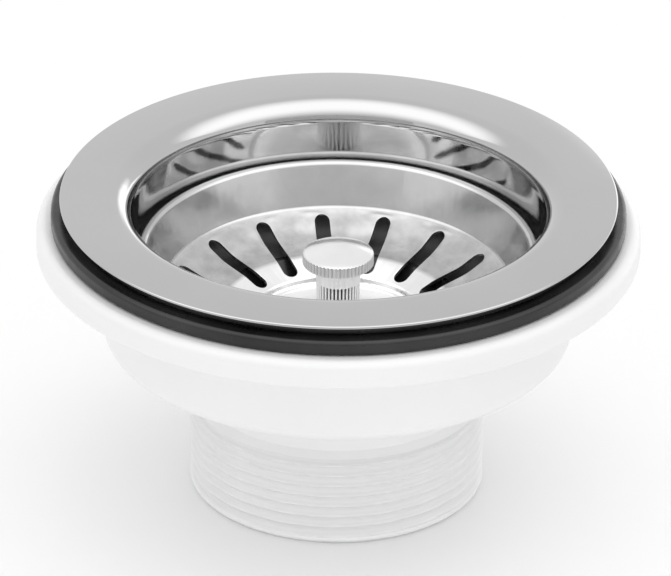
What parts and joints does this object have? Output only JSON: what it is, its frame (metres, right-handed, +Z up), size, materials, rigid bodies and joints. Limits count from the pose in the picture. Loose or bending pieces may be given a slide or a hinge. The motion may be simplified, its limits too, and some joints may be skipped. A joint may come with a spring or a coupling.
{
  "type": "basket strainer waste",
  "caption": "Kitchen sink basket strainer waste: flanged steel cup clamped to a white body with a threaded outlet, and a lift-out slotted basket with a knob and stopper.",
  "frame": {"origin": "centre of the outlet's lower end, which the part stands on", "axes": "+Z up along the axis of the waste, from the outlet to the flange"},
  "size_m": [0.1214, 0.1214, 0.0635],
  "materials": {
    "white_plastic": "moulded satin white",
    "black_rubber": "smooth black",
    "polished_steel": "mirror-polished stainless steel",
    "pressed_steel": "bright pressed stainless steel with light scuffs",
    "chromed_grip": "bright chrome",
    "plain_steel": "turned stainless steel",
    "brass": "machined brass"
  },
  "bodies": {
    "waste": {"waste_body": "white_plastic", "clamp_nut": "brass", "lower_seal": "black_rubber", "upper_seal": "black_rubber", "strainer_cup": "polished_steel", "bolt_washer": "plain_steel", "clamp_bolt": "plain_steel"},
    "grip": {"grip_ring": "black_rubber"},
    "basket": {"basket_bowl": "pressed_steel", "knob": "chromed_grip", "post": "plain_steel", "stopper_seal": "black_rubber", "seal_plate": "plain_steel", "post_nut": "plain_steel"}
  },
  "joints": [
    {"name": "basket_lift", "type": "slide", "parent": "waste", "child": "grip", "axis": [0, 0, 1], "range_m": [0, 0.056]},
    {"name": "basket_turn", "type": "hinge", "parent": "grip", "child": "basket", "pos_m": [0, 0, 0.017], "axis": [0, 0, 1], "continuous": true}
  ]
}
